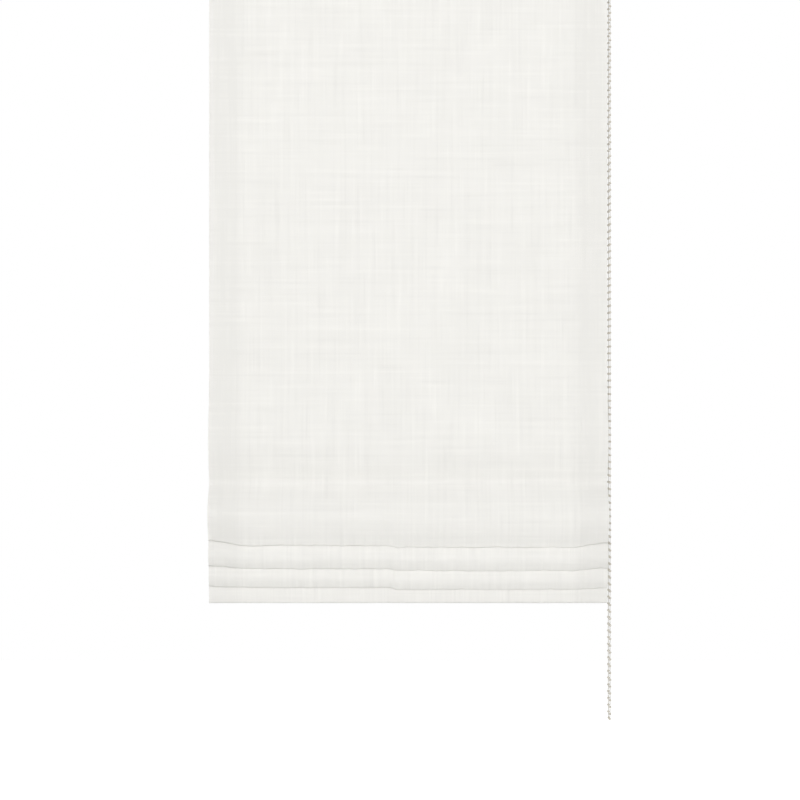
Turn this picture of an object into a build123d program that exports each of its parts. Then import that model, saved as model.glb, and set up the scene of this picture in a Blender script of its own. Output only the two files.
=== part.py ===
from build123d import *
import os
from math import cos, pi, sin

# A roman blind, part raised: the lower half of the cloth hangs in three loops above its bottom flap.
# Millimetres. +X is to the right for someone in the room, the front faces -Y and +Z is up.
# The origin is the middle of the four ceiling screws, on the top face of the two clip brackets.

# The cloth, its rods and its bottom bar
blind_width = 700
cloth_drop = 1600
cloth_thick = 0.8
rod_count = 7
rod_spacing = 200
first_rod_drop = 298
gathered_rods = 4
gathered_pitch = 37.5
rod_radius = 2.5
rod_length = 694
flap_drop = cloth_drop - first_rod_drop - (rod_count - 1) * rod_spacing
hem_height = 29
hem_depth = 6
pocket_height = 14
pocket_length = 688
bar_height = 22
bar_depth = 4.2
bar_wall = 1
bar_length = 686

# The head rail
rail_length = 692
rail_depth = 30
rail_height = 40
rail_wall = 1.4
rail_lip = 5
rail_neck = 6
end_plate = 4
tape_height = 25
hook_tape_thick = 1.8
loop_tape_thick = 1.5

# The brackets and their ceiling screws
bracket_pitch = 500
screw_pitch = 12
screw_hole_radius = 2.25
bracket_plate = 1.2
bracket_width = 24

# The drive
shaft_side = 5
drum_radius = 7.2
drum_length = 59
drum_pitch = 250
cord_radius = 0.7
cord_offset = 26
journal_radius = 5
flange_radius = 11

# The control unit and its bead chain
bead_diameter = 4.5
bead_pitch = 12
wheel_pockets = 6
chain_beads = 220
string_radius = 0.6
control_width = 15
housing_wall = 1
cover_thick = 2
plug_length = 24
stub_radius = 3
spring_inner = 5.9
spring_wire = 1
chain_plane = 356

# Clearances
touch = 0.05
running = 0.08

# Heights and depths worked out from the above
rail_top = -bracket_plate - touch
rail_web = rail_top - rail_neck
rail_bottom = rail_top - rail_height
shaft_height = (rail_web + rail_bottom) / 2
rail_left = -blind_width / 2 + end_plate
rail_right = rail_left + rail_length
control_face = rail_right + control_width
plug_depth = rail_depth - 2 * rail_wall - 2 * running
plug_height = rail_web - rail_bottom - 2 * rail_wall - 2 * running
tape_top = rail_web - 4
cloth_back = -rail_depth / 2 - hook_tape_thick - loop_tape_thick - 2 * touch
cloth_plane = cloth_back - cloth_thick / 2
cloth_top = tape_top + 10
pocket_wall = 0.4
rod_bore = rod_radius + touch
rod_plane = cloth_back + touch + pocket_wall + rod_bore
cord_plane = -drum_radius - touch - cord_radius
wheel_radius = wheel_pockets * bead_pitch / (2 * pi)
chain_drop = (chain_beads * bead_pitch - 2 * pi * wheel_radius) / 2
rim_clear = 10
drum_centres = [-drum_pitch, 0, drum_pitch]
cord_lines = [x - cord_offset for x in drum_centres]
sides = ["left", "middle", "right"]


def rod_height(number):
    """Height of a rod's middle. Rod 1 is the lowest, and the lowest four are gathered."""
    top_gathered = first_rod_drop + (rod_count - gathered_rods) * rod_spacing
    if number >= gathered_rods:
        return -top_gathered + (number - gathered_rods) * rod_spacing
    return -top_gathered - (gathered_rods - number) * gathered_pitch


hem_bottom = rod_height(1) - flap_drop
lock_top = rod_height(1) - 1.5


def along_x(section, start, end):
    """Extrudes a section drawn in Y and Z from start to end along X."""
    return extrude(Plane.YZ.offset(start) * section, end - start)


def turned(outline, start=0):
    """Turns an outline of (distance along X, radius) about the shaft's line."""
    at = Plane((start, 0, shaft_height), x_dir=(1, 0, 0), z_dir=(0, -1, 0))
    return revolve(at * make_face(Polyline(*outline, close=True)), Axis((0, 0, shaft_height), (1, 0, 0)))


def disc_x(radius, start, end, depth=0, height=shaft_height):
    """A round bar along X."""
    return along_x(Pos(depth, height) * Circle(radius), start, end)


def upright(radius, place, bottom, top):
    """A round bar along Z."""
    return Pos(place[0], place[1], (bottom + top) / 2) * Cylinder(radius, top - bottom)


def head_rail():
    """Aluminium channel, open below, with a T rib on each edge of its top for the brackets."""
    rib_from_middle = 10.9
    rib_reach = 2.5
    wall_middle = rail_depth / 2 - rail_wall / 2
    web_middle = rail_web - rail_wall / 2
    lip_middle = rail_bottom + rail_wall / 2
    lip_end = rail_depth / 2 - rail_lip
    channel = Polyline((-lip_end, lip_middle), (-wall_middle, lip_middle), (-wall_middle, web_middle),
                       (wall_middle, web_middle), (wall_middle, lip_middle), (lip_end, lip_middle))
    section = trace(channel, rail_wall)
    for side in (-1, 1):
        rib = side * rib_from_middle
        tip = (rib + side * rib_reach, rail_top - rail_wall / 2)
        section += trace(Polyline((rib, web_middle), (rib, rail_top - rail_wall / 2), tip), rail_wall)
    return along_x(section, rail_left, rail_right)


def bracket(x):
    """Bent steel clip: its jaws spring over the rail's T ribs, and two screws hold it to the ceiling."""
    side_gap = 0.2
    jaw_end = 12.2
    bend_radius = 0.7
    jaw = rail_depth / 2 - side_gap - bracket_plate / 2
    under = rail_top - rail_wall - 2 * touch - bracket_plate / 2
    plate = -bracket_plate / 2
    strip = FilletPolyline((-jaw_end, under), (-jaw, under), (-jaw, plate), (jaw, plate), (jaw, under),
                           (jaw_end, under), radius=bend_radius)
    clip = along_x(trace(strip, bracket_plate), x - bracket_width / 2, x + bracket_width / 2)
    for y in (-screw_pitch / 2, screw_pitch / 2):
        clip -= upright(screw_hole_radius, (x, y), -2 * bracket_plate, 1)
    return clip


def end_cap_left():
    """Moulded cap: a plate the size of the rail's end, ribs that push inside it, and the shaft's bearing."""
    spigot_length = 8
    spigot_wall = 1.5
    corner = 2
    boss_radius = journal_radius + 2
    middle = Pos(0, (rail_top + rail_bottom) / 2)
    cap = along_x(middle * RectangleRounded(rail_depth, rail_height, corner), rail_left - end_plate, rail_left)
    frame = Rectangle(plug_depth, plug_height)
    frame -= Rectangle(plug_depth - 2 * spigot_wall, plug_height - 2 * spigot_wall)
    cap += along_x(Pos(0, shaft_height) * frame, rail_left, rail_left + spigot_length)
    cap += disc_x(boss_radius, rail_left, rail_left + spigot_length + 1)
    for angle, reach in ((0, plug_depth), (90, plug_height), (180, plug_depth), (270, plug_height)):
        start = boss_radius - 1
        length = reach / 2 - spigot_wall / 2 - start
        rib = Pos(0, shaft_height) * Rot(0, 0, angle) * Pos(start + length / 2, 0)
        cap += along_x(rib * Rectangle(length, spigot_wall), rail_left, rail_left + spigot_length)
    return cap - disc_x(journal_radius + running, rail_left - end_plate + 1.5, rail_left + spigot_length + 2)


def control_housing():
    """Moulded control: a plug inside the rail's end, and a shroud round the chain wheel, open below."""
    corner = 3
    floor = 5
    hub_clear = 6
    spring_seat = 7.3
    wall_end = 2
    plug = Pos(0, shaft_height) * Rectangle(plug_depth, plug_height)
    housing = along_x(plug, rail_right - plug_length, rail_right)
    outline = Pos(0, (rail_top + rail_bottom) / 2) * RectangleRounded(rail_depth, rail_height, corner)
    housing += along_x(outline, rail_right, control_face)
    cavity_radius = rail_depth / 2 - housing_wall
    mouth = shaft_height - rail_bottom + 2
    cavity = Pos(0, shaft_height) * Circle(cavity_radius)
    cavity += Pos(0, shaft_height - mouth / 2) * Rectangle(2 * cavity_radius, mouth)
    housing -= along_x(cavity, rail_right + floor, control_face + 1)
    bore = [(-plug_length - 1, 0), (-plug_length - 1, hub_clear), (-plug_length + wall_end, hub_clear),
            (-plug_length + wall_end, spring_seat), (1, spring_seat), (1, hub_clear), (floor + 1, hub_clear),
            (floor + 1, 0)]
    return housing - turned(bore, rail_right)


def control_cover():
    """Outer plate with a rim that snaps inside the shroud, and the stub that carries the wheel's outer end."""
    corner = 3
    edge_round = 0.8
    rim_thick = 0.8
    rim_depth = 1.5
    outline = Pos(0, (rail_top + rail_bottom) / 2) * RectangleRounded(rail_depth, rail_height, corner)
    plate = along_x(outline, control_face, control_face + cover_thick)
    cover = fillet(plate.edges().group_by(Axis.X)[-1], edge_round)
    cover += disc_x(stub_radius, control_face - 3, control_face)
    snap_radius = rail_depth / 2 - housing_wall - touch
    rim = Pos(0, shaft_height) * (Circle(snap_radius) - Circle(snap_radius - rim_thick))
    rim -= Pos(0, shaft_height - snap_radius + 4) * Rectangle(2 * rail_depth, 2 * snap_radius)
    return cover + along_x(rim, control_face - rim_depth, control_face)


def chain_wheel():
    """Moulded wheel: six bead pockets in a grooved rim, and a long hub that the wrap spring grips."""
    rim = wheel_radius + 1.4
    half = 3.6
    edge = 0.8
    groove = 1.0
    groove_floor = wheel_radius - 0.9
    hub = spring_inner - 0.1
    pocket_clear = 0.2
    start = rail_right - plug_length + 2.3
    centre = chain_plane
    outline = [(start, 0), (start, hub), (centre - half, hub), (centre - half, rim - edge),
               (centre - half + edge, rim), (centre - groove, rim), (centre - groove, groove_floor),
               (centre + groove, groove_floor), (centre + groove, rim), (centre + half - edge, rim),
               (centre + half, rim - edge), (centre + half, 0)]
    wheel = turned(outline)
    for pocket in range(wheel_pockets):
        angle = 2 * pi * (pocket + 0.5) / wheel_pockets
        place = Pos(centre, wheel_radius * cos(angle), shaft_height + wheel_radius * sin(angle))
        wheel -= place * Sphere(bead_diameter / 2 + pocket_clear)
    wheel -= square_hole(start - 1, centre - 1)
    return wheel - disc_x(stub_radius + running, control_face - 3.2, centre + half + 1)


def brake_spring():
    """Close-wound wrap spring between the wheel's hub and the housing: its turns lie against each other."""
    turns = 12
    bulge = 0.2
    start = rail_right - plug_length + 3
    outer = spring_inner + spring_wire
    edge = [(start, spring_inner), (start, outer)]
    for turn in range(turns):
        crest = start + spring_wire * (turn + 0.5)
        edge += [(crest, outer + bulge), (crest + spring_wire / 2, outer)]
    return turned(edge + [(start + spring_wire * turns, spring_inner)])


def drive_shaft():
    """Square steel bar from the left bush to the socket in the chain wheel."""
    section = Pos(0, shaft_height) * Rectangle(shaft_side, shaft_side)
    return along_x(chamfer(section.vertices(), 0.4), rail_left - 1, chain_plane - 1.5)


def square_hole(start, end):
    """The hole that slides onto the shaft."""
    side = shaft_side + 2 * touch
    return along_x(Pos(0, shaft_height) * Rectangle(side, side), start, end)


def shaft_bush():
    """Round bush pushed onto the shaft's left end. It turns in the end cap."""
    shoulder = rail_left + 9.5
    bush = disc_x(journal_radius, rail_left - 1.5, shoulder) + disc_x(journal_radius + 2, shoulder, shoulder + 2)
    return bush - square_hole(rail_left - 1.2, shoulder + 3)


def cord_drum(centre):
    """Tapered spool: the cord winds on beside the tall flange and each turn pushes the last one along."""
    half = drum_length / 2
    journal = half + 6
    flange = 1.8
    fillet_run = 0.6
    land = 6
    taper_end = 9
    waist = drum_radius - 0.9
    far_waist = drum_radius - 1.2
    far_flange = 9
    outline = [(-journal, 0), (-journal, journal_radius), (-half, journal_radius), (-half, flange_radius),
               (-half + flange, flange_radius), (-half + flange + fillet_run, drum_radius),
               (-half + land, drum_radius), (-half + taper_end, waist), (half - 2, far_waist),
               (half - 2, far_flange), (half, far_flange), (half, journal_radius), (journal, journal_radius),
               (journal, 0)]
    return turned(outline, centre) - square_hole(centre - journal - 1, centre + journal + 1)


def drum_cradle(centre):
    """Moulded saddle that clips between the rail's lips: two open bearings and a tray with the cord's eye."""
    cheek_from_middle = drum_length / 2 + 3.2
    cheek = 2.4
    tray_thick = 1.6
    eye_radius = 2
    inside = rail_depth / 2 - rail_wall - running
    mouth = 2 * (rail_depth / 2 - rail_lip) - 0.4
    ledge = rail_bottom + rail_wall + touch
    cheek_top = shaft_height + 4
    bearing = 2 * (journal_radius + running)
    tray = Pos(0, ledge + tray_thick / 2) * Rectangle(2 * inside, tray_thick)
    tray += Pos(0, (rail_bottom + ledge) / 2) * Rectangle(mouth, ledge - rail_bottom)
    reach = cheek_from_middle + cheek / 2
    cradle = along_x(tray, centre - reach, centre + reach)
    saddle = Pos(0, (ledge + cheek_top) / 2) * Rectangle(2 * inside, cheek_top - ledge)
    saddle -= Pos(0, shaft_height) * Circle(bearing / 2)
    saddle -= Pos(0, shaft_height + bearing / 2) * Rectangle(bearing, bearing)
    for side in (-cheek_from_middle, cheek_from_middle):
        cradle += along_x(saddle, centre + side - cheek / 2, centre + side + cheek / 2)
    window = Pos(centre + 6, 0, ledge) * Box(drum_length - 22, 10, 8)
    eye = upright(eye_radius, (centre - cord_offset, cord_plane), rail_bottom - 1, ledge + 2 * tray_thick)
    return cradle - window - eye


def cloth_line():
    """The cloth's middle line in depth and height, from its top edge to the end of the bottom hem.

    Each loop leaves the line of the rods, hangs in front of the loops below it and folds back over the next rod."""
    rod_4, rod_3, rod_2, rod_1 = [rod_height(number) for number in (4, 3, 2, 1)]
    rise = 8
    loop_3 = rod_3 - 77
    loop_2 = rod_2 - 80
    loop_1 = rod_1 - 76
    route = [
        (0, cloth_top, 0),
        (0, rod_4 + 150, 600),
        (-9, rod_4 + 66, 120),
        (0, rod_4 + 7, 40),
        (0, rod_4 - 7, 12),
        (-24, rod_4 - 44, 30),
        (-30, rod_4 - 70, 40),
        (-22, loop_3, 5),
        (-13, loop_3, 4),
        (-8.5, rod_3 - 34.5, 60),
        (-2.2, rod_3 + rise, 1.05),
        (0, rod_3 + rise, 1.05),
        (0, rod_3 - rise, 20),
        (-4.6, rod_2 + rise, 40),
        (-9.5, loop_3 + 6, 60),
        (-15.5, loop_2 + 14, 12),
        (-11, loop_2, 1.8),
        (-7.4, loop_2, 1.7),
        (-6.4, rod_2 - 36, 60),
        (-2.2, rod_2 + rise, 1.05),
        (0, rod_2 + rise, 1.05),
        (0, rod_2 - rise, 20),
        (-4.6, rod_1 + rise, 40),
        (-5.4, loop_2 + 8, 60),
        (-8.8, loop_1 + 13, 12),
        (-5, loop_1, 1.2),
        (-2.6, loop_1, 1.2),
        (-2.2, rod_1 + rise, 1.05),
        (0, rod_1 + rise, 1.05),
        (0, hem_bottom + cloth_thick / 2, 1.6),
        (hem_depth, hem_bottom + cloth_thick / 2, 1.6),
        (hem_depth, hem_bottom + hem_height - 4, 1.5),
        (cloth_thick + 0.1, hem_bottom + hem_height, 1.5),
        (cloth_thick + 0.1, hem_bottom + hem_height + 5, 0),
    ]
    points = [(cloth_plane + depth, height) for depth, height, _ in route]
    return FilletPolyline(*points, radius=[radius for _, _, radius in route[1:-1]])


def cloth():
    """One length of cloth, folded to its hanging shape."""
    line = cloth_line()
    print("cloth cut to", blind_width, "by", round(line.length))
    return along_x(trace(line, cloth_thick), -blind_width / 2, blind_width / 2)


def tape(thick, front, length):
    """A flat strip of fastening tape along the head of the blind."""
    section = Pos(front + thick / 2, tape_top - tape_height / 2) * Rectangle(thick, tape_height)
    return along_x(section, rail_left, rail_left + length)


def rod(number):
    """Round glass-fibre rod that stiffens the cloth across its width."""
    bar = disc_x(rod_radius, -rod_length / 2, rod_length / 2, rod_plane, rod_height(number))
    return chamfer(bar.edges().filter_by(GeomType.CIRCLE), 0.4)


def pocket_tape(number):
    """Narrow tape sewn flat across the cloth's back, with the rod in its tube."""
    middle = rod_height(number)
    around = Pos(rod_plane, middle) * Circle(rod_bore + pocket_wall)
    flat = Pos(cloth_back + touch + pocket_wall / 2, middle) * Rectangle(pocket_wall, pocket_height)
    section = around + flat - Pos(rod_plane, middle) * Circle(rod_bore)
    return along_x(section, -pocket_length / 2, pocket_length / 2)


def cord_rings(number):
    """Three eyes on the back of a pocket tape, one for each lift cord."""
    height = rod_height(number)
    outer_radius = 4.2
    eye_radius = 2.4
    thick = 2
    foot_front = rod_plane + rod_bore + pocket_wall + touch
    foot_back = cord_plane - outer_radius + 1
    rings = []
    for x in cord_lines:
        ring = Pos(x, cord_plane, height) * (Cylinder(outer_radius, thick) - Cylinder(eye_radius, 2 * thick))
        foot = Pos(x, (foot_front + foot_back) / 2, height) * Box(6, foot_back - foot_front, 3)
        rings.append(ring + foot)
    return Compound(children=rings)


def cord_locks():
    """Three small barrels under the lowest eyes. Each grips the end of its lift cord."""
    radius = 3.2
    length = 12
    locks = []
    for x in cord_lines:
        barrel = Pos(x, cord_plane, lock_top - length / 2) * Cylinder(radius, length)
        locks.append(chamfer(barrel.edges().filter_by(GeomType.CIRCLE), 0.6))
    return Compound(children=locks)


def lift_cord(x):
    """Braided cord from its drum straight down through the rings to its lock."""
    return upright(cord_radius, (x, cord_plane), lock_top, shaft_height)


def chain_path():
    """The chain's two strands and the bend at the bottom, from the front of the wheel to the back."""
    low = shaft_height - chain_drop
    high = shaft_height - rim_clear
    front = Line((chain_plane, -wheel_radius, high), (chain_plane, -wheel_radius, low))
    bend = ThreePointArc((chain_plane, -wheel_radius, low), (chain_plane, 0, low - wheel_radius),
                         (chain_plane, wheel_radius, low))
    back = Line((chain_plane, wheel_radius, low), (chain_plane, wheel_radius, high))
    return Wire([front.edge(), bend.edge(), back.edge()])


def chain_loop():
    """The hanging part of the endless bead chain, as a plain tube."""
    path = chain_path()
    whole = path.length + 2 * rim_clear + pi * wheel_radius
    print("chain bend radius", round(wheel_radius, 2), "length", round(whole))
    start = Plane(origin=path @ 0, z_dir=path % 0)
    return sweep(start * Circle(bead_diameter / 2), path=path)


def chain_wrap():
    """The chain's string where it goes over the wheel, in the groove."""
    low = shaft_height - rim_clear
    up = Line((chain_plane, -wheel_radius, low), (chain_plane, -wheel_radius, shaft_height))
    over = ThreePointArc(up @ 1, (chain_plane, 0, shaft_height + wheel_radius),
                         (chain_plane, wheel_radius, shaft_height))
    down = Line(over @ 1, (chain_plane, wheel_radius, low))
    path = Wire([up.edge(), over.edge(), down.edge()])
    start = Plane(origin=path @ 0, z_dir=path % 0)
    return sweep(start * Circle(string_radius), path=path)


def bar_section(height, depth):
    """A flat section with round edges, at the bar's place in the bottom hem."""
    middle = hem_bottom + cloth_thick + 0.4 + bar_height / 2
    return Pos(cloth_plane + hem_depth / 2, middle) * Rot(0, 0, 90) * SlotOverall(height, depth)


def bottom_bar():
    """Hollow aluminium bar that weighs the bottom hem."""
    hollow = bar_section(bar_height - 2 * bar_wall, bar_depth - 2 * bar_wall)
    return along_x(bar_section(bar_height, bar_depth) - hollow, -bar_length / 2, bar_length / 2)


def bottom_cap(side):
    """Moulded end cap with a tongue inside the bar."""
    end = bar_length / 2
    tongue = bar_section(bar_height - 2 * bar_wall - 0.2, bar_depth - 2 * bar_wall - 0.2)
    cap = along_x(bar_section(bar_height, bar_depth), end, end + 2.5) + along_x(tongue, end - 10, end)
    return cap if side > 0 else mirror(cap, Plane.YZ)


nodes = {
    "head_rail": head_rail(),
    "end_cap_left": end_cap_left(),
    "control_housing": control_housing(),
    "control_cover": control_cover(),
    "chain_wheel": chain_wheel(),
    "brake_spring": brake_spring(),
    "drive_shaft": drive_shaft(),
    "shaft_bush": shaft_bush(),
    "bracket_left": bracket(-bracket_pitch / 2),
    "bracket_right": bracket(bracket_pitch / 2),
    "hook_tape": tape(hook_tape_thick, -rail_depth / 2 - hook_tape_thick, rail_length),
    "loop_tape": tape(loop_tape_thick, cloth_back + touch, rail_length - 2),
    "cloth": cloth(),
    "chain_loop": chain_loop(),
    "chain_wrap": chain_wrap(),
    "cord_locks": cord_locks(),
    "bottom_bar": bottom_bar(),
    "bottom_cap_left": bottom_cap(-1),
    "bottom_cap_right": bottom_cap(1),
}
for side, centre, x in zip(sides, drum_centres, cord_lines):
    nodes["cord_drum_" + side] = cord_drum(centre)
    nodes["drum_cradle_" + side] = drum_cradle(centre)
    nodes["lift_cord_" + side] = lift_cord(x)
for number in range(1, rod_count + 1):
    nodes["rod_" + str(number)] = rod(number)
    nodes["pocket_tape_" + str(number)] = pocket_tape(number)
    nodes["cord_rings_" + str(number)] = cord_rings(number)

os.makedirs("parts", exist_ok=True)
for name, shape in nodes.items():
    export_step(shape, "parts/" + name + ".step")
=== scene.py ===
import bpy
import bmesh
import numpy as np
from math import cos, pi, radians, sin
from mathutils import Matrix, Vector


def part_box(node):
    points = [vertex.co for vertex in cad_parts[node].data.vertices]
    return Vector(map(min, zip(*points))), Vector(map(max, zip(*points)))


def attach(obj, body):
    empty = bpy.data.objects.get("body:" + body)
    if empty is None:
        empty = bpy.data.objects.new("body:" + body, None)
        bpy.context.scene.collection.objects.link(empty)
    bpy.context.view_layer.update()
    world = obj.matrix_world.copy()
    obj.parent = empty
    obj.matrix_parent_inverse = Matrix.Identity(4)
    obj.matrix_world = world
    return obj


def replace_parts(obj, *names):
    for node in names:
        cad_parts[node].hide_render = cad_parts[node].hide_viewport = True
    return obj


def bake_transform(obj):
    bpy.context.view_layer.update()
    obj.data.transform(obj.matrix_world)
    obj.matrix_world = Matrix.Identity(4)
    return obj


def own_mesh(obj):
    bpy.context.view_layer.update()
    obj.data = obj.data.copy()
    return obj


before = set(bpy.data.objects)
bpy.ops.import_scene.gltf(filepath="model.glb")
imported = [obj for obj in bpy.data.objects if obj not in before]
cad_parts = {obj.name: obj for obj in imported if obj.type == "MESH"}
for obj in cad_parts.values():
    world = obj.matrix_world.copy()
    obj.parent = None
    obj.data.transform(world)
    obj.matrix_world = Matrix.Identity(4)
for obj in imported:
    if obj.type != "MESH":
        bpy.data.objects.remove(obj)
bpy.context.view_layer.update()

# The camera stands 2.8 m in front of the cloth, level with the photograph's middle row. The photograph shows the
# blind's lower part and the chain's end, and its top edge is about 5 cm below the head rail's top.
def put(name, data):
    """Puts a new object in the scene."""
    made = bpy.data.objects.new(name, data)
    bpy.context.scene.collection.objects.link(made)
    return made


camera = put("camera", bpy.data.cameras.new("camera"))
cloth_distance = 2.8
view_width = 1.407
camera.location = (-0.0144, -2.819, -0.755)
camera.rotation_euler = (radians(90), 0, 0)
camera.data.sensor_width = 36
camera.data.lens = camera.data.sensor_width * cloth_distance / view_width
camera.data.clip_end = 50
bpy.context.scene.camera = camera


# The lift cords: white braided polyester, 1.4 mm thick. Each is wound on its drum in the head rail, drops through
# the eyes on the backs of the rods and ends in a lock under the lowest eye.
cord_thick = 0.0014
cord_lines = {"left": -0.276, "middle": -0.026, "right": 0.224}
drum_radius = 0.00795
cord_plane = -drum_radius
shaft_height = -0.02425
rod_heights = {n: (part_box(f"rod_{n}")[0].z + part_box(f"rod_{n}")[1].z) / 2 for n in range(1, 8)}
lock_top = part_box("cord_locks")[1].z


def add(tree, kind, inputs=None, **settings):
    """Adds a node to a material's tree. An input is a plain value or another node's socket."""
    made = tree.nodes.new("ShaderNode" + kind)
    for key, value in settings.items():
        setattr(made, key, value)
    for key, value in (inputs or {}).items():
        if isinstance(value, bpy.types.NodeSocket):
            tree.links.new(value, made.inputs[key])
        else:
            made.inputs[key].default_value = value
    return made


def calc(tree, operation, *values):
    """One step of arithmetic on numbers."""
    return add(tree, "Math", dict(enumerate(values)), operation=operation).outputs[0]


def new_group(name, inputs, outputs):
    """An empty effect with named numbers or vectors going in and coming out."""
    tree = bpy.data.node_groups.new(name, "ShaderNodeTree")
    for label, kind in inputs.items():
        tree.interface.new_socket(label, in_out="INPUT", socket_type="NodeSocket" + kind)
    for label, kind in outputs.items():
        tree.interface.new_socket(label, in_out="OUTPUT", socket_type="NodeSocket" + kind)
    return tree, tree.nodes.new("NodeGroupInput").outputs, tree.nodes.new("NodeGroupOutput").inputs


def effect(tree, group, **inputs):
    """Places a shared effect in a material and sets its inputs."""
    made = tree.nodes.new("ShaderNodeGroup")
    made.node_tree = group
    for key, value in inputs.items():
        if isinstance(value, bpy.types.NodeSocket):
            tree.links.new(value, made.inputs[key.replace("_", " ")])
        else:
            made.inputs[key.replace("_", " ")].default_value = value
    return made.outputs


def new_finish(name, **sockets):
    """A new material, its tree and its surface shader, with the values that are the same all over it."""
    made = bpy.data.materials.new(name)
    made.use_nodes = True
    surface = made.node_tree.nodes["Principled BSDF"]
    for key, value in sockets.items():
        surface.inputs[key.replace("_", " ")].default_value = value
    return made, made.node_tree, surface.inputs


def tint(tree, base, shade, dark, light):
    """The finish's colour, from dark times it where shade is 0 to light times it where shade is 1."""
    low = [min(1, channel * dark) for channel in base] + [1]
    high = [min(1, channel * light) for channel in base] + [1]
    return add(tree, "Mix", {"Factor": shade, "A": low, "B": high}, data_type="RGBA").outputs["Result"]


def relief(tree, height, depth):
    """The surface's fine relief. Depth is in metres."""
    return add(tree, "Bump", {"Height": height, "Distance": depth, "Strength": 1.0}).outputs["Normal"]


def speckle(tree, place, scale, detail=2.0, roughness=0.5):
    """Soft random patches. Scale is how many of them fit in a metre each way."""
    stretched = add(tree, "VectorMath", {0: place, 1: scale}, operation="MULTIPLY").outputs[0]
    return add(tree, "TexNoise", {"Vector": stretched, "Scale": 1.0, "Detail": detail,
                                  "Roughness": roughness}).outputs["Fac"]


# Strands laid round a cord both ways, from the cord's own mark: cosine and sine round it, and distance along it
braid, given, gives = new_group("Braid", {"Lay": "Vector", "Strands": "Float", "Pitch": "Float"},
                                {"Height": "Float"})
lay = add(braid, "SeparateXYZ", {"Vector": given["Lay"]}).outputs
angle = calc(braid, "MULTIPLY", calc(braid, "ARCTAN2", lay["Y"], lay["X"]), given["Strands"])
turn = calc(braid, "MULTIPLY", calc(braid, "DIVIDE", lay["Z"], given["Pitch"]), 2 * pi)
one_way = calc(braid, "SINE", calc(braid, "ADD", turn, angle))
other_way = calc(braid, "SINE", calc(braid, "SUBTRACT", turn, angle))
braid.links.new(calc(braid, "MULTIPLY_ADD", calc(braid, "MULTIPLY", one_way, other_way), 0.5, 0.5), gives["Height"])


def braided(name, colour, strands, pitch, depth):
    """A braided textile cord."""
    made, tree, surface = new_finish(name, Roughness=0.75, Sheen_Weight=0.25, Sheen_Roughness=0.5)
    mark = add(tree, "Attribute", attribute_name="lay").outputs["Vector"]
    height = effect(tree, braid, Lay=mark, Strands=strands, Pitch=pitch)["Height"]
    fluff = speckle(tree, mark, (1, 1, 900))
    tree.links.new(tint(tree, colour, calc(tree, "MULTIPLY_ADD", fluff, 0.4, calc(tree, "MULTIPLY", height, 0.6)),
                        0.86, 1.04), surface["Base Color"])
    tree.links.new(relief(tree, height, depth), surface["Normal"])
    return made


def read_spline(route, steps=12):
    """Points along the smooth line that a cord's route gives."""
    data = bpy.data.curves.new("route", "CURVE")
    data.dimensions = "3D"
    data.resolution_u = steps
    run = data.splines.new("NURBS")
    run.points.add(len(route) - 1)
    for spot, place in zip(run.points, route):
        spot.co = (*place, 1)
    run.order_u = 3
    run.use_endpoint_u = True
    holder = put("route", data)
    bpy.context.view_layer.update()
    mesh = bpy.data.meshes.new_from_object(holder)
    line = np.array([vertex.co for vertex in mesh.vertices])
    bpy.data.objects.remove(holder)
    return line


def spaced(line, distances):
    """Points at these distances along a line."""
    along = np.r_[0, np.cumsum(np.linalg.norm(np.diff(line, axis=0), axis=1))]
    return np.stack([np.interp(distances, along, line[:, axis]) for axis in range(3)], axis=1)


def line_length(line):
    return float(np.linalg.norm(np.diff(line, axis=0), axis=1).sum())


def cord_mesh(name, line, radius, step, sides, finish):
    """A round cord along a line, marked with where round and along it each point lies."""
    length = line_length(line)
    distances = np.linspace(0, length, max(3, round(length / step) + 1))
    centres = spaced(line, distances)
    ahead = np.gradient(centres, axis=0)
    ahead /= np.linalg.norm(ahead, axis=1)[:, None]
    across = np.array([1.0, 0, 0]) if abs(ahead[0][0]) < 0.9 else np.array([0, 1.0, 0])
    rings, marks = [], []
    for centre, way, distance in zip(centres, ahead, distances):
        across = across - way * (across @ way)
        across /= np.linalg.norm(across)
        up = np.cross(way, across)
        for side in range(sides):
            turned = 2 * pi * side / sides
            rings.append(centre + radius * (cos(turned) * across + sin(turned) * up))
            marks.append((cos(turned), sin(turned), distance))
    faces = [(ring * sides + side, ring * sides + (side + 1) % sides,
              (ring + 1) * sides + (side + 1) % sides, (ring + 1) * sides + side)
             for ring in range(len(centres) - 1) for side in range(sides)]
    faces += [tuple(range(sides))[::-1], tuple((len(centres) - 1) * sides + side for side in range(sides))]
    mesh = bpy.data.meshes.new(name)
    mesh.from_pydata([tuple(point) for point in rings], [], faces)
    mesh.attributes.new("lay", "FLOAT_VECTOR", "POINT").data.foreach_set("vector", np.ravel(marks))
    mesh.shade_smooth()
    mesh.materials.append(finish)
    return put(name, mesh)


cord_braid = braided("lift cord braid", (0.88, 0.875, 0.85), strands=4, pitch=0.0028, depth=0.00012)
by_eye = 0.0084  # How far from the rod the cord leaves the eye
turns, lay_pitch, turn_sides = 10, 0.0015, 12

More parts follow.
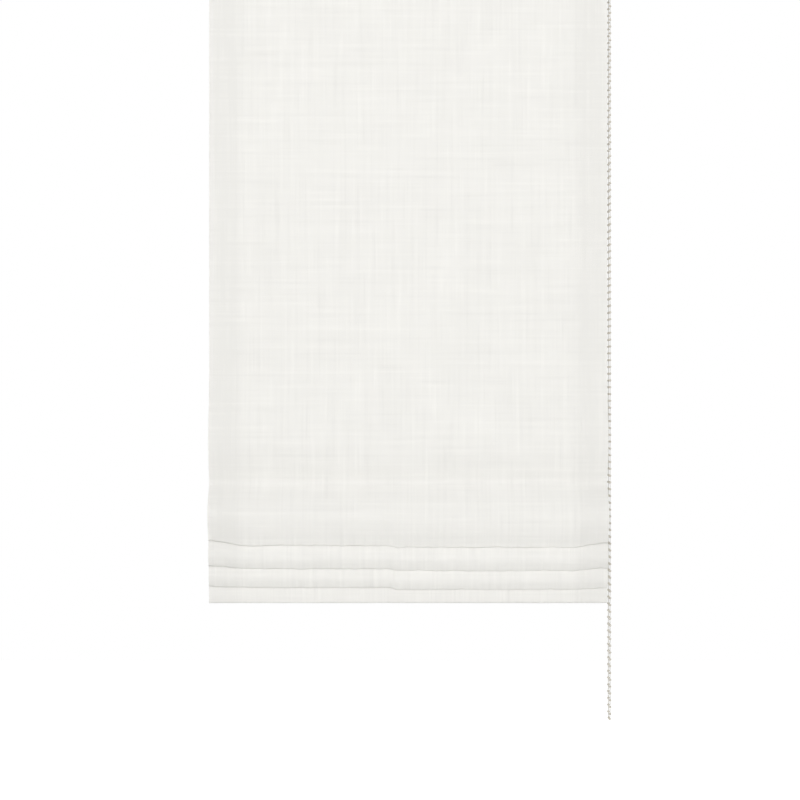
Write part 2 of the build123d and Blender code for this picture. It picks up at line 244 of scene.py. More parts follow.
for place, x in cord_lines.items():
    # The long run above the gathered rods, built at its raised length; on the blind it shortens as the rods rise and
    # the cord winds on
    upper = read_spline([(x, cord_plane, shaft_height), (x, cord_plane, rod_heights[4] + by_eye),
                         (x, cord_plane, rod_heights[4])])
    run = cord_mesh(f"lift_cord_{place}_upper", upper, cord_thick / 2, step=0.006, sides=8, finish=cord_braid)
    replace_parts(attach(run, "headrail"), f"lift_cord_{place}")
    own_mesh(run)
    # The runs between the gathered rods and down to the lock, built at their raised length; on the blind they
    # lengthen as the rods spread
    for rod in (4, 3, 2):
        low = lock_top if rod == 2 else rod_heights[rod - 1]
        lower = read_spline([(x, cord_plane, rod_heights[rod]), (x, cord_plane, rod_heights[rod] - by_eye),
                             (x, cord_plane, low)])
        run = cord_mesh(f"lift_cord_{place}_{rod}", lower, cord_thick / 2, step=0.0015, sides=8, finish=cord_braid)
        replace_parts(run, f"lift_cord_{place}")
        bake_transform(run)
    # The turns that are already on the drum lie side by side next to its tall flange
    reach = drum_radius / cos(pi / turn_sides)
    coil = [(x + lay_pitch * step / turn_sides, -reach * cos(2 * pi * (step + 0.5) / turn_sides),
             shaft_height + reach * sin(2 * pi * (step + 0.5) / turn_sides))
            for step in range(turns * turn_sides)]
    wound = read_spline([(x, -drum_radius, shaft_height), *coil], steps=4)
    run = cord_mesh(f"lift_cord_{place}_wound", wound, cord_thick / 2, step=0.0022, sides=8, finish=cord_braid)
    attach(run, "drive")


# The control chain: an endless loop of 220 moulded beads, 4.5 mm across and 12 mm apart, on a thin polyester
# string. It runs over the wheel in the control unit and hangs beside the cloth's right edge.
chain_plane = 0.356
bead_count = 220
bead_pitch = 0.012
bead_diameter = 0.0045
string_thick = 0.0012
wheel_pockets = 6
wheel_radius = wheel_pockets * bead_pitch / (2 * pi)
loop_bottom = shaft_height - (bead_count * bead_pitch - 2 * pi * wheel_radius) / 2 - wheel_radius
over_wheel = [(chain_plane, -wheel_radius / cos(radians(15)) * cos(radians(angle)),
               shaft_height + wheel_radius / cos(radians(15)) * sin(radians(angle)))
              for angle in (15, 45, 75, 105, 135, 165)]
below_wheel = shaft_height - 0.01
above_bottom = loop_bottom + 0.027
chain_route = [
    (chain_plane, 0, shaft_height + wheel_radius), *over_wheel[2::-1],
    (chain_plane, -wheel_radius, below_wheel), (chain_plane, -wheel_radius, above_bottom),
    (chain_plane, -wheel_radius, loop_bottom), (chain_plane, wheel_radius, loop_bottom),
    (chain_plane, wheel_radius, above_bottom), (chain_plane, wheel_radius, below_wheel),
    *over_wheel[:2:-1], (chain_plane, 0, shaft_height + wheel_radius)]
chain_line = read_spline(chain_route)

# Tiny pits, flow marks and uneven gloss of a moulded surface
moulded, given, gives = new_group("Moulded surface", {"Place": "Vector"},
                                  {"Shade": "Float", "Roughness": "Float", "Height": "Float"})
cloudy = speckle(moulded, given["Place"], (60, 60, 60), 3.0)
grain = speckle(moulded, given["Place"], (2600, 2600, 2600), 2.0)
moulded.links.new(cloudy, gives["Shade"])
moulded.links.new(calc(moulded, "MULTIPLY_ADD", cloudy, 0.16, calc(moulded, "MULTIPLY_ADD", grain, 0.08, 0.26)),
                  gives["Roughness"])
moulded.links.new(calc(moulded, "MULTIPLY_ADD", grain, 0.35, calc(moulded, "MULTIPLY", cloudy, 0.65)),
                  gives["Height"])


def plastic(name, colour, depth=0.00004, **sockets):
    """A moulded plastic, from satin to glossy."""
    made, tree, surface = new_finish(name, **sockets)
    place = add(tree, "TexCoord").outputs["Object"]
    skin = effect(tree, moulded, Place=place)
    tree.links.new(tint(tree, colour, skin["Shade"], 0.95, 1.03), surface["Base Color"])
    tree.links.new(skin["Roughness"], surface["Roughness"])
    tree.links.new(relief(tree, skin["Height"], depth), surface["Normal"])
    return made


# The beads and the string are given a beige darker than their pale plastic: painted shade, for the shade the chain
# hangs in beside the cloth
bead_plastic = plastic("chain bead plastic", (0.60, 0.56, 0.48), Coat_Weight=0.3, Coat_Roughness=0.15)
string_braid = braided("chain string", (0.62, 0.6, 0.54), strands=3, pitch=0.0022, depth=0.0001)


def bead_string():
    """The string and its beads, one mesh with two finishes."""
    made = cord_mesh("chain", chain_line, string_thick / 2, step=0.006, sides=6, finish=string_braid)
    made.data.materials.append(bead_plastic)
    body = bmesh.new()
    body.from_mesh(made.data)
    marks = body.verts.layers.float_vector["lay"]
    gap = line_length(chain_line) / bead_count
    middles = spaced(chain_line, gap * (np.arange(bead_count) + 0.5))
    ahead = spaced(chain_line, gap * (np.arange(bead_count) + 0.55)) - middles
    rows, sides = 8, 12
    # A bead is a ball with a small flat at either end, where the string goes in
    for middle, way in zip(middles, ahead):
        way /= np.linalg.norm(way)
        across = np.array([1.0, 0, 0])
        up = np.cross(way, across)
        rings = []
        for row in range(rows + 1):
            lean = pi * (0.09 + 0.82 * row / rows)
            centre = middle - way * cos(lean) * bead_diameter * 0.48
            reach = bead_diameter / 2 * sin(lean)
            ring = [body.verts.new(centre + reach * (cos(2 * pi * side / sides) * across
                                                     + sin(2 * pi * side / sides) * up)) for side in range(sides)]
            for vertex in ring:
                vertex[marks] = (1, 0, 0)
            rings.append(ring)
        for low, high in zip(rings, rings[1:]):
            for side in range(sides):
                face = body.faces.new((low[side], low[(side + 1) % sides], high[(side + 1) % sides], high[side]))
                face.material_index, face.smooth = 1, True
        for ring in (rings[0][::-1], rings[-1]):
            face = body.faces.new(ring)
            face.material_index = 1
    body.to_mesh(made.data)
    body.free()
    return made


chain = bead_string()
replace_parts(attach(chain, "headrail"), "chain_loop", "chain_wrap")


# The head rail: an aluminium extrusion with a satin white coat, open below. Two sprung steel clips hold it by the
# ribs on its top, and each clip takes two screws.
# Fine draw lines along the length, a few rubs across them and uneven gloss
drawn, given, gives = new_group("Drawn metal", {"Place": "Vector"},
                                {"Shade": "Float", "Roughness": "Float", "Height": "Float"})
lines = speckle(drawn, given["Place"], (6, 1500, 1500), 3.0, 0.6)
smudge = speckle(drawn, given["Place"], (40, 40, 40), 3.0)
drawn.links.new(calc(drawn, "MULTIPLY_ADD", lines, 0.7, calc(drawn, "MULTIPLY", smudge, 0.3)), gives["Shade"])
drawn.links.new(calc(drawn, "MULTIPLY_ADD", lines, 0.18, calc(drawn, "MULTIPLY_ADD", smudge, 0.16, 0.2)),
                gives["Roughness"])
drawn.links.new(lines, gives["Height"])


def metal(name, colour, depth, dark, light, **sockets):
    """An extruded, drawn or rolled metal surface."""
    made, tree, surface = new_finish(name, **sockets)
    place = add(tree, "TexCoord").outputs["Object"]
    skin = effect(tree, drawn, Place=place)
    tree.links.new(tint(tree, colour, skin["Shade"], dark, light), surface["Base Color"])
    tree.links.new(skin["Roughness"], surface["Roughness"])
    tree.links.new(relief(tree, skin["Height"], depth), surface["Normal"])
    return made


def dress(node, finish):
    """Gives a solid of the frame its finish."""
    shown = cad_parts[node]
    shown.data.materials.clear()
    shown.data.materials.append(finish)


dress("head_rail", metal("coated rail aluminium", (0.80, 0.80, 0.785), depth=0.00002, dark=0.97, light=1.02,
                         Coat_Weight=0.2, Coat_Roughness=0.35))
clip_steel = metal("zinc plated clip steel", (0.62, 0.63, 0.65), depth=0.00003, dark=0.8, light=1.1, Metallic=1.0)
dress("bracket_left", clip_steel)
dress("bracket_right", clip_steel)

# The rail's ends: moulded white plastic. The left cap carries the shaft's bush. At the right are the control's
# housing, which pushes into the rail, and its snap-on cover.
white_moulding = plastic("white moulding", (0.80, 0.80, 0.785))
for node in ("end_cap_left", "control_housing", "control_cover"):
    dress(node, white_moulding)

# The drive: a square steel shaft, the moulded wheel that the chain turns, a left bush, and the close-wound steel
# spring that locks the wheel when nobody pulls. Three tapered drums in cradles wind the lift cords.
shaft_steel = metal("drawn shaft steel", (0.46, 0.46, 0.47), depth=0.00003, dark=0.75, light=1.1, Metallic=1.0)
spring_steel = metal("spring wire", (0.38, 0.38, 0.39), depth=0.00002, dark=0.8, light=1.1, Metallic=1.0)
drum_moulding = plastic("drum and wheel moulding", (0.66, 0.66, 0.645))
dress("drive_shaft", shaft_steel)
dress("brake_spring", spring_steel)
for node in ("chain_wheel", "shaft_bush", "cord_drum_left", "cord_drum_middle", "cord_drum_right"):
    dress(node, drum_moulding)
for node in ("drum_cradle_left", "drum_cradle_middle", "drum_cradle_right"):
    dress(node, white_moulding)


# The fastening tapes: 25 mm wide woven tape. The hook tape is stuck along the rail's front and the loop tape is
# sewn behind the cloth's top edge, so that the cloth pulls off for washing.
# A plain weave of uneven threads. Cut is the place on the flat cloth in metres: across it, along it and its side.
weave, given, gives = new_group("Weave", {"Cut": "Vector", "Threads per metre": "Float", "Slub": "Float"},
                                {"Shade": "Float", "Height": "Float"})
wander = speckle(weave, given["Cut"], (30, 30, 0), 2.0)
place = add(weave, "SeparateXYZ", {"Vector": given["Cut"]}).outputs
thread = calc(weave, "MULTIPLY", given["Threads per metre"], pi)
warp = calc(weave, "SINE", calc(weave, "MULTIPLY_ADD", place["X"], thread, calc(weave, "MULTIPLY", wander, 9)))
weft = calc(weave, "SINE", calc(weave, "MULTIPLY_ADD", place["Y"], thread, calc(weave, "MULTIPLY", wander, 7)))
crossing = calc(weave, "MULTIPLY", warp, weft)
# Thick and thin threads run straight and come and go along their length, over broad pale and deep patches
threads = []
for fine, gate in (((150, 3, 0), (75, 17, 0)), ((3, 120, 0), (17, 60, 0))):
    line = calc(weave, "SUBTRACT", speckle(weave, given["Cut"], fine, 2.5, 0.6), 0.5)
    shown = add(weave, "MapRange", {"Value": speckle(weave, given["Cut"], gate, 2.0), "From Min": 0.36,
                                    "From Max": 0.64, "To Min": 0.1, "To Max": 1.9}).outputs["Result"]
    threads.append(calc(weave, "MULTIPLY", line, shown))
patch = calc(weave, "MULTIPLY", calc(weave, "SUBTRACT", speckle(weave, given["Cut"], (15, 11, 0), 2.0), 0.5), 0.7)
uneven = calc(weave, "ADD", patch, calc(weave, "MULTIPLY_ADD", threads[0], 1.25, threads[1]))
uneven = calc(weave, "MULTIPLY", uneven, given["Slub"])
weave.links.new(calc(weave, "ADD", calc(weave, "MULTIPLY_ADD", crossing, 0.1, 0.5), uneven), gives["Shade"])
weave.links.new(calc(weave, "MULTIPLY_ADD", crossing, 0.35, calc(weave, "MULTIPLY_ADD", uneven, 0.6, 0.5)),
                gives["Height"])


def sheet_mesh(name, xs, lines, front, back, cut_start, finish):
    """A sheet of cloth with real thickness.

    Each column has its own line of (y, z) points; front and back are how far the two faces lie from it."""
    columns, rows = lines.shape[:2]
    ahead = np.gradient(lines, axis=1)
    ahead /= np.linalg.norm(ahead, axis=2)[:, :, None] + 1e-12
    outward = np.stack([ahead[:, :, 1], -ahead[:, :, 0]], axis=2)
    steps = np.linalg.norm(np.diff(lines, axis=1), axis=2)
    along = cut_start + np.concatenate([np.zeros((columns, 1)), np.cumsum(steps, axis=1)], axis=1)
    wide = np.broadcast_to(np.reshape(xs, (columns, -1)), (columns, rows))
    points, marks = [], []
    for depth, side in ((front, 0), (-back, 1)):
        shell = lines + outward * np.reshape(depth, (-1, 1, 1))
        points.append(np.dstack([wide, shell]).reshape(-1, 3))
        marks.append(np.dstack([wide, along, np.full_like(along, side)]).reshape(-1, 3))
    count = columns * rows
    index = np.arange(count).reshape(columns, rows)
    quads = np.stack([index[:-1, :-1], index[:-1, 1:], index[1:, 1:], index[1:, :-1]], axis=2).reshape(-1, 4)
    rims = []
    for edge in (index[0, :], index[-1, ::-1], index[::-1, 0], index[:, -1]):
        rims.append(np.stack([edge[1:], edge[:-1], edge[:-1] + count, edge[1:] + count], axis=1))
    faces = np.concatenate([quads, quads[:, ::-1] + count, *rims])
    mesh = bpy.data.meshes.new(name)
    mesh.from_pydata(np.concatenate(points).tolist(), [], faces.tolist())
    mesh.attributes.new("cut", "FLOAT_VECTOR", "POINT").data.foreach_set("vector", np.concatenate(marks).ravel())
    mesh.shade_smooth()
    body = bmesh.new()
    body.from_mesh(mesh)
    body.faces.ensure_lookup_table()
    for face in body.faces[2 * len(quads):]:
        for edge in face.edges:
            edge.smooth = all(next_to.index >= 2 * len(quads) for next_to in edge.link_faces)
    body.to_mesh(mesh)
    body.free()
    mesh.materials.append(finish)
    return put(name, mesh)


def even_rows(lines, rows):
    """Spreads each column's points evenly along its line."""
    out = np.empty((len(lines), rows, 2))
    for column, line in enumerate(lines):
        along = np.r_[0, np.cumsum(np.linalg.norm(np.diff(line, axis=0), axis=1))]
        for axis in range(2):
            out[column, :, axis] = np.interp(np.linspace(0, along[-1], rows), along, line[:, axis])
    return out


def woven(name, colour, threads, slub, depth, dark, light, stitches):
    """A woven cloth or tape. Stitches adds its seams, and on the cloth also the painted shade over its hems, from
    where each point lies on the flat cloth.
    """
    made, tree, surface = new_finish(name, Roughness=0.85, Sheen_Weight=0.2, Sheen_Roughness=0.5)
    mark = add(tree, "Attribute", attribute_name="cut").outputs["Vector"]
    cloth = effect(tree, weave, Cut=mark, Threads_per_metre=threads, Slub=slub)
    shade, height = stitches(tree, mark, cloth["Shade"], cloth["Height"])
    tree.links.new(tint(tree, colour, shade, dark, light), surface["Base Color"])
    tree.links.new(relief(tree, height, depth), surface["Normal"])
    return made


# A row of stitches: Off is the distance from the seam's line and Along the distance along it
stitch_row, given, gives = new_group("Stitch row", {"Off": "Float", "Along": "Float", "Pitch": "Float"},
                                     {"Thread": "Float"})
beside = calc(stitch_row, "LESS_THAN", calc(stitch_row, "ABSOLUTE", given["Off"]), 0.0003)
phase = calc(stitch_row, "FRACT", calc(stitch_row, "DIVIDE", given["Along"], given["Pitch"]))
stitch_row.links.new(calc(stitch_row, "MULTIPLY", beside, calc(stitch_row, "LESS_THAN", phase, 0.78)),
                     gives["Thread"])


def rows_across(tree, mark, shade, height, places):
    """Raised rows of stitches along a tape, at these places across it."""
    place = add(tree, "SeparateXYZ", {"Vector": mark}).outputs
    every = 0.0
    for at in places:
        off = calc(tree, "SUBTRACT", place["Y"], at)
        every = calc(tree, "ADD", every, effect(tree, stitch_row, Off=off, Along=place["X"], Pitch=0.003)["Thread"])
    return calc(tree, "MULTIPLY_ADD", every, 0.25, shade), calc(tree, "MULTIPLY_ADD", every, 0.8, height)


def tape_seams(tree, mark, shade, height):
    """Two rows of stitches near a fastening tape's long edges."""
    return rows_across(tree, mark, shade, height, (0.003, 0.022))


tape_weave = woven("fastening tape", (0.78, 0.78, 0.765), threads=1700, slub=0.25, depth=0.00025, dark=0.82,
                   light=1.08, stitches=tape_seams)
for node, held in (("hook_tape", "head_rail"), ("loop_tape", "hook_tape")):
    low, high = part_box(node)
    middle, half = (low.y + high.y) / 2, (high.y - low.y) / 2
    face_depth = half * 0.96
    top, tall = high.z, high.z - low.z
    # The two long edges are thinner than the tape's face
    heights = top - tall * np.array([0, 0.01, 0.04, 0.08, 0.92, 0.96, 0.99, 1])
    xs = np.linspace(low.x, high.x, 120)
    heights = np.concatenate([heights[:4], np.linspace(heights[3], heights[4], 14)[1:-1], heights[4:]])
    line = np.array([(middle, z) for z in heights])
    lines = np.repeat(line[None], len(xs), axis=0)
    strip = sheet_mesh(node + "_woven", xs, lines, face_depth, face_depth, cut_start=0, finish=tape_weave)
    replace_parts(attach(strip, "headrail"), node)


# The rods and their pockets: seven 5 mm glass-fibre rods, each in the tunnel of a narrow white tape that is sewn
# across the cloth's back by its two flat edges. Clear moulded eyes on the tapes guide the cords.
def pocket_seams(tree, mark, shade, height):
    """Stitches along the tape's two edges, through its flat layers."""
    return rows_across(tree, mark, shade, height, (0.0015, 0.0128, 0.0158, 0.0352))


pocket_weave = woven("pocket tape", (0.82, 0.82, 0.80), threads=1900, slub=0.22, depth=0.0002, dark=0.84,
                     light=1.06, stitches=pocket_seams)
cloth_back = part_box("pocket_tape_5")[0].y - 0.00005
tunnel_depth = (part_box("rod_5")[0].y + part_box("rod_5")[1].y) / 2 - cloth_back
rod_finish, tree, surface = new_finish("glass fibre rod", Roughness=0.4, Coat_Weight=0.15)
place = add(tree, "TexCoord").outputs["Object"]
fibres = speckle(tree, place, (12, 2500, 2500), 3.0, 0.65)
tree.links.new(tint(tree, (0.78, 0.79, 0.74), fibres, 0.86, 1.06), surface["Base Color"])
tree.links.new(relief(tree, fibres, 0.00003), surface["Normal"])
eye_plastic = plastic("clear eye moulding", (0.80, 0.81, 0.80), Coat_Weight=0.4, Coat_Roughness=0.08,
                      Subsurface_Weight=0.25, Subsurface_Scale=0.002)
lock_plastic = plastic("cord lock moulding", (0.78, 0.78, 0.76), Coat_Weight=0.2, Coat_Roughness=0.2)
tape_half = 0.00018
layer = 0.00025
tunnel_radius = 0.00274
for number, height in rod_heights.items():
    dress(f"rod_{number}", rod_finish)
    dress(f"cord_rings_{number}", eye_plastic)
    # Up the flat front layer, over the top edge, down its back, round the rod and down to the bottom edge
    section = [(layer, -0.0068), (layer, 0.0068), (layer * 2, 0.00695), (layer * 3, 0.0068), (layer * 3, 0.0045),
               (layer * 3.6, 0.0038), (0.0016, 0.0030)]
    section += [(tunnel_depth + tunnel_radius * cos(radians(angle)), tunnel_radius * sin(radians(angle)))
                for angle in range(100, -101, -20)]
    section += [(0.0016, -0.0030), (layer * 3.6, -0.0038), (layer * 3, -0.0045), (layer * 3, -0.0068)]
    line = np.array([(cloth_back + depth, height + up) for depth, up in section])
    low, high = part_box(f"pocket_tape_{number}")
    xs = np.linspace(low.x, high.x, 90)
    lines = even_rows(np.repeat(line[None], len(xs), axis=0), 72)
    pocket = sheet_mesh(f"pocket_tape_{number}_woven", xs, lines, tape_half, tape_half, cut_start=0,
                        finish=pocket_weave)
    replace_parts(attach(pocket, f"rod_{number}_set"), f"pocket_tape_{number}")
dress("cord_locks", lock_plastic)


# The cloth: one length of off-white, slubby, linen-look polyester, 700 mm wide. Its side edges are turned back
# 50 mm and stitched. The upper part hangs flat; below rod 4 it hangs in three soft loops and a bottom flap.
mm = 0.001
cloth_plane = -0.0188
half_width = 0.35
hem_wide = 0.05
cloth_top = -0.00125
middle_cord = cord_lines["middle"]
# How far across the cloth the loops' rise at the sides, their step and their crease reach
rise_wide, step_wide, crease_wide = 0.062, 0.016, 0.0028
xs = np.linspace(-half_width, half_width, 201)
from_edge = half_width - np.abs(xs)
chance = np.random.default_rng(7)


def smooth_step(share):
    """From 0 to 1 with no corner at either end."""
    share = np.clip(share, 0, 1)
    return share * share * (3 - 2 * share)


def ripple(size, shortest, longest):
    """Gentle unevenness across the cloth, as a height for each column."""
    total = np.zeros(len(xs))
    parts = 7
    for length in np.geomspace(shortest, longest, parts):
        total += chance.uniform(0.5, 1) * np.sin(2 * pi * xs / length + chance.uniform(0, 2 * pi))
    return size * total / np.sqrt(parts)


def cloth_lines(route, rows, soft, rise=0, step=0, crease=0):
    """Each column's line through one part of the cloth, from a route of (depth in mm, height, how far it follows).

    The last number says how far that point follows the loop's uneven bottom edge: soft is how uneven it is, rise
    how much higher it hangs at the sides, step how much lower right of the middle cord, and crease how far the
    cloth stands forward there."""
    follow = np.array([spot[2] for spot in route])
    higher = rise * (1 - smooth_step((from_edge - 0.004) / rise_wide))
    lower = step * (smooth_step((xs - middle_cord + step_wide / 2) / step_wide) - 0.5)
    ridge = crease * np.exp(-((xs - middle_cord) / crease_wide) ** 2)
    up = higher - lower + ripple(soft, 0.02, 0.3)
    out = ripple(soft * 0.6, 0.014, 0.25)
    depths = np.array([spot[0] for spot in route]) * mm + follow * (out - ridge)[:, None]
    heights = np.array([spot[1] for spot in route]) + follow * up[:, None]
    points = np.stack([cloth_plane + depths, heights], axis=2)
    share = np.linspace(0, 1, 14)[None, :, None]
    pieces = []
    for spot in range(1, len(route) - 1):
        before, here, after = (points[:, spot + shift, None, :] for shift in (-1, 0, 1))
        bent = 0.5 * (before * (1 - share) ** 2 + here * (1 + 2 * share - 2 * share ** 2) + after * share ** 2)
        pieces.append(bent[:, (spot > 1):])
    return even_rows(np.concatenate(pieces, axis=1), rows)


def seams_and_painted_hem_shade(tree, mark, shade, height):
    """The side hems' stitches, and painted shade over the hems where the cloth is double, eased off near the very
    edge.
    """
    place = add(tree, "SeparateXYZ", {"Vector": mark}).outputs
    inside = calc(tree, "SUBTRACT", half_width, calc(tree, "ABSOLUTE", place["X"]))
    hem_shade_mask = add(tree, "MapRange", {"Value": inside, "From Min": hem_wide + 0.017, "From Max": hem_wide - 0.012,
                                     "To Min": 0.0, "To Max": 1.0}, interpolation_type="SMOOTHSTEP").outputs["Result"]
    edge = add(tree, "MapRange", {"Value": inside, "From Min": 0.0, "From Max": 0.02, "To Min": 1.0, "To Max": 0.0},
               interpolation_type="SMOOTHSTEP").outputs["Result"]
    painted_hem_shade = calc(tree, "MULTIPLY", hem_shade_mask, calc(tree, "SUBTRACT", 1.0, calc(tree, "MULTIPLY", edge, 0.55)))
    sewn = effect(tree, stitch_row, Off=calc(tree, "SUBTRACT", inside, hem_wide - 0.003), Along=place["Y"],
                  Pitch=0.0034)["Thread"]
    # Painted shade: the hem band is coloured darker, standing in for the light that the double cloth lets through
    # less
    shade = calc(tree, "MULTIPLY_ADD", painted_hem_shade, -0.44, shade)
    return calc(tree, "MULTIPLY_ADD", sewn, -0.08, shade), calc(tree, "MULTIPLY_ADD", sewn, -0.5, height)


linen = woven("linen look cloth", (0.905, 0.894, 0.859), threads=2100, slub=0.9, depth=0.0003, dark=0.93,
              light=1.02, stitches=seams_and_painted_hem_shade)
# How far the cloth's faces lie from its line: its turned hems make it thicker at the back, where they end in a step
front_half = 0.0004
back_half = 0.0001 + 0.0003 * smooth_step((hem_wide - from_edge) / 0.003)
# The heights of the gathered rods, of the three loops' lowest points and of the hem's
r4, r3, r2, r1 = (rod_heights[n] for n in (4, 3, 2, 1))
b3, b2, b1 = r3 - 0.077, r2 - 0.080, r1 - 0.076
hem_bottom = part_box("cloth")[0].z


def hang_cloth(name, lines, cut_start):
    """Makes one part of the cloth and says how large its flat cut is."""
    made = sheet_mesh(name, xs, lines, front_half, back_half, cut_start, linen)
    length = float(np.linalg.norm(np.diff(lines, axis=1), axis=2).sum(axis=1).mean())
    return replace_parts(made, "cloth"), cut_start + length


# The flat upper part, with a slight fullness between the rods that are still spread
upper_route = [(0, cloth_top + 5 * mm, 0), (0, cloth_top - 5 * mm, 0)]
for rod in (7, 6, 5):
    middle = rod_heights[rod]
    upper_route += [(-0.8, middle + 0.1, 0.3), (0, middle + 8 * mm, 0.1), (0, middle - 8 * mm, 0.1)]
upper_route += [(-7, r4 + 140 * mm, 0.6), (-16, r4 + 94 * mm, 1), (-17, r4 + 60 * mm, 1),
                (-9.5, r4 + 27 * mm, 0.6), (-1.2, r4 + 4 * mm, 0), (0, r4 - 4 * mm, 0)]
panel, cut = hang_cloth("cloth_panel", cloth_lines(upper_route, soft=0.0003, rows=190), 0)
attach(panel, "headrail")
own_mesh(panel)

# The three loops, each in two parts: the front that hangs from the upper rod and rolls under, and the back that
# climbs from there to the next rod and folds over it. Each is built as it hangs with the blind raised; on the blind,
# each back unrolls as it is let down.
loops = [
    (3, r4, r3, b3, dict(rise=0.009, step=0.0035, crease=0.0006, soft=0.0010),
     [(-1.2, r4 + 4 * mm, 0), (0, r4 - 4 * mm, 0), (-9, r4 - 17 * mm, 0), (-20, r4 - 34 * mm, 0.1),
      (-26.5, r4 - 51 * mm, 0.4), (-28, r4 - 66 * mm, 0.7), (-25.5, b3 + 32.5 * mm, 1), (-20.5, b3 + 19 * mm, 1),
      (-15.4, b3 + 6 * mm, 1), (-13.2, b3 - 0.2 * mm, 1), (-11.9, b3 + 2.5 * mm, 1), (-11.7, b3 + 8 * mm, 1),
      (-11.4, b3 + 13 * mm, 1)],
     [(-11.7, b3 + 8 * mm, 1), (-11.4, b3 + 13 * mm, 1), (-8.5, r3 - 34.5 * mm, 0), (-3.0, r3 - 2 * mm, 0),
      (-2.3, r3 + 8.5 * mm, 0), (0, r3 + 8.5 * mm, 0), (0, r3 + 5 * mm, 0), (0, r3 - 5 * mm, 0)]),
    (2, r3, r2, b2, dict(rise=0.005, step=0.004, crease=0.0022, soft=0.0009),
     [(0, r3 + 5 * mm, 0), (0, r3 - 5 * mm, 0), (-2, r3 - 14 * mm, 0), (-4.8, r2 + 8 * mm, 0),
      (-9.5, b3 + 6 * mm, 0.1), (-16, b2 + 28 * mm, 1), (-17, b2 + 18.5 * mm, 1), (-12.8, b2 + 8 * mm, 1),
      (-9.4, b2 + 1.8 * mm, 1), (-8.3, b2 - 0.4 * mm, 1), (-7.3, b2 + 1.6 * mm, 1), (-7.2, b2 + 4 * mm, 1),
      (-7.1, b2 + 8 * mm, 1)],
     [(-7.2, b2 + 4 * mm, 1), (-7.1, b2 + 8 * mm, 1), (-6.4, r2 - 36 * mm, 0), (-2.8, r2 - 2 * mm, 0),
      (-2.3, r2 + 8.5 * mm, 0), (0, r2 + 8.5 * mm, 0), (0, r2 + 5 * mm, 0), (0, r2 - 5 * mm, 0)]),
    (1, r2, r1, b1, dict(rise=0.002, step=0.0035, crease=0.0022, soft=0.0008),
     [(0, r2 + 5 * mm, 0), (0, r2 - 5 * mm, 0), (-2, r2 - 14 * mm, 0), (-4.6, r1 + 8 * mm, 0),
      (-5.0, b2 + 8 * mm, 0.1), (-9.2, b1 + 24 * mm, 1), (-10, b1 + 15.5 * mm, 1), (-6.6, b1 + 6.5 * mm, 1),
      (-4.1, b1 + 1.4 * mm, 1), (-3.4, b1 - 0.3 * mm, 1), (-2.6, b1 + 1.2 * mm, 1), (-2.4, b1 + 4 * mm, 1),
      (-2.4, b1 + 8 * mm, 1)],
     [(-2.4, b1 + 4 * mm, 1), (-2.4, b1 + 8 * mm, 1), (-2.4, r1 - 30 * mm, 0), (-2.3, r1 + 2 * mm, 0),
      (-2.2, r1 + 8.5 * mm, 0), (0, r1 + 8.5 * mm, 0), (0, r1 + 5 * mm, 0), (0, r1 - 5 * mm, 0)]),
]
for number, upper, lower, bottom, unevenness, front_route, back_route in loops:
    state = chance.bit_generator.state
    lines = cloth_lines(front_route, rows=72, **unevenness)
    front, cut = hang_cloth(f"cloth_loop_{number}_front", lines, cut)
    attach(front, f"rod_{number + 1}_set")
    chance.bit_generator.state = state
    lines = cloth_lines(back_route, rows=52, **unevenness)
    back, cut = hang_cloth(f"cloth_loop_{number}_back", lines, cut)
    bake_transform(back)

# The bottom flap ends in a hem that is turned up round the bar and stitched
flap_route = [(0, r1 + 5 * mm, 0), (0, r1 - 5 * mm, 0), (-0.6, r1 - 40 * mm, 0), (-1.0, b1 + 6 * mm, 0.3),
              (-2.6, b1 - 5 * mm, 0.6), (-2.2, hem_bottom + 13 * mm, 1),
              (-1.6, hem_bottom + 1.5 * mm, 0.6), (1.2, hem_bottom + 0.4 * mm, 0.6),
              (4.9, hem_bottom + 0.4 * mm, 0.6), (6, hem_bottom + 1.6 * mm, 0.6), (6, hem_bottom + 12 * mm, 0.6),
              (6, hem_bottom + 24 * mm, 0.6), (4, hem_bottom + 27 * mm, 0.6), (1.1, hem_bottom + 29 * mm, 0.3),
              (0.9, hem_bottom + 32 * mm, 0.3), (0.9, hem_bottom + 36 * mm, 0.3)]
flap, cut = hang_cloth("cloth_flap", cloth_lines(flap_route, soft=0.0002, rows=90), cut)
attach(flap, "rod_1_set")


# The bottom bar: a hollow extruded aluminium strip with moulded caps, which slides into the hem and weighs it
dress("bottom_bar", metal("bar aluminium", (0.62, 0.62, 0.62), depth=0.00002, dark=0.85, light=1.08, Metallic=1.0))
for node in ("bottom_cap_left", "bottom_cap_right"):
    dress(node, white_moulding)


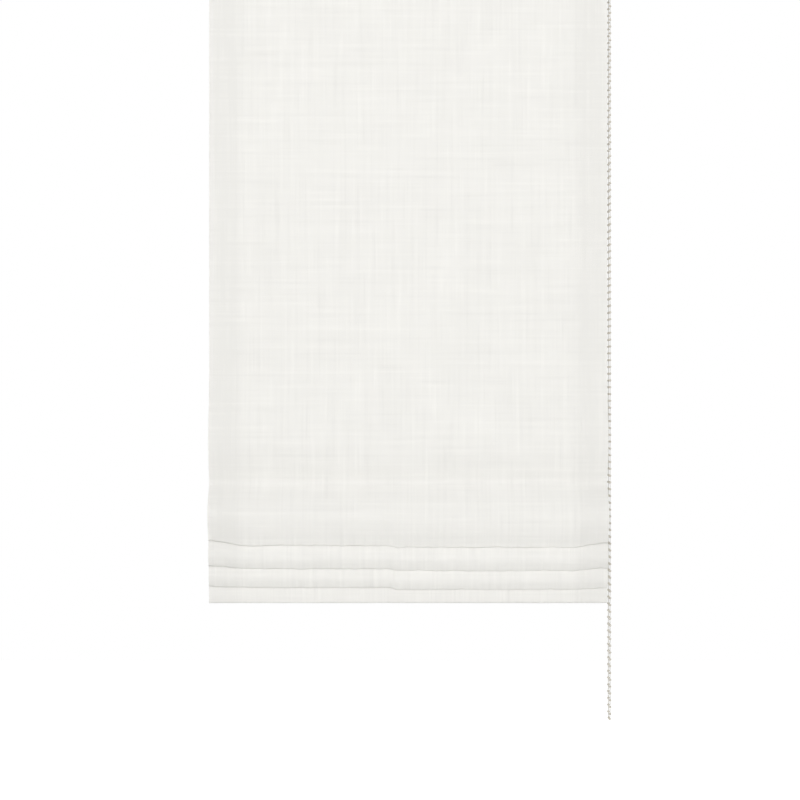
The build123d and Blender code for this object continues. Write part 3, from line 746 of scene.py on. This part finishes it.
# The room: a white surround, a pale floor well below the chain, three large soft lamps in front and one behind
def lamp(name, place, aim, size, power):
    """A large soft lamp, aimed at a point."""
    made = put(name, bpy.data.lights.new(name, "AREA"))
    made.data.shape = "RECTANGLE"
    made.data.size, made.data.size_y = size
    made.data.energy = power
    made.location = place
    way = np.array(aim, float) - np.array(place, float)
    made.rotation_euler = (pi / 2 + np.arctan2(way[2], np.hypot(way[0], way[1])), 0, -np.arctan2(way[0], way[1]))


def seen_direct(tree):
    """1 where the camera sees something straight, mirrored or through something clear."""
    rays = add(tree, "LightPath").outputs
    return calc(tree, "MAXIMUM", rays["Is Camera Ray"], calc(tree, "MAXIMUM", rays["Is Glossy Ray"],
                                                             rays["Is Transmission Ray"]))


world = bpy.data.worlds.new("studio")
bpy.context.scene.world = world
world.use_nodes = True
tree = world.node_tree
ambient = add(tree, "Background", {"Color": (1, 1, 1, 1), "Strength": 0.33})
surround = add(tree, "Background", {"Color": (1, 1, 1, 1), "Strength": 1.0})
mixed = add(tree, "MixShader", {0: seen_direct(tree), 1: ambient.outputs[0], 2: surround.outputs[0]})
tree.links.new(mixed.outputs[0], tree.nodes["World Output"].inputs["Surface"])

floor_height = -2.2
floor_mesh = bpy.data.meshes.new("floor")
floor_corners = [(x, y, floor_height) for x, y in ((-6, -6), (6, -6), (6, 6), (-6, 6))]
floor_mesh.from_pydata(floor_corners, [], [(0, 1, 2, 3)])
floor = put("floor", floor_mesh)
floor_finish, tree, surface = new_finish("pale floor", Roughness=0.9)
place = add(tree, "TexCoord").outputs["Object"]
tree.links.new(tint(tree, (0.8, 0.8, 0.79), speckle(tree, place, (3, 3, 3)), 0.97, 1.02), surface["Base Color"])
# Seen straight or mirrored it is white, apart from the object's shadow
surface["Emission Color"].default_value = (1, 1, 1, 1)
tree.links.new(calc(tree, "MULTIPLY", seen_direct(tree), 0.7), surface["Emission Strength"])
floor_mesh.materials.append(floor_finish)

lamp("key light", (-0.8, -4.6, 0.2), aim=(0, 0, -0.7), size=(2.6, 2.0), power=76)
lamp("fill light", (1.6, -4.6, -0.9), aim=(0, 0, -0.7), size=(2.2, 1.8), power=48)
lamp("top light", (-0.3, -3.6, 2.6), aim=(0, 0, -0.8), size=(3.2, 2.4), power=50)
lamp("back light", (0.8, 4.2, 0.6), aim=(0, 0, -0.6), size=(2.4, 2.4), power=60)
bpy.context.scene.view_settings.view_transform = "Standard"
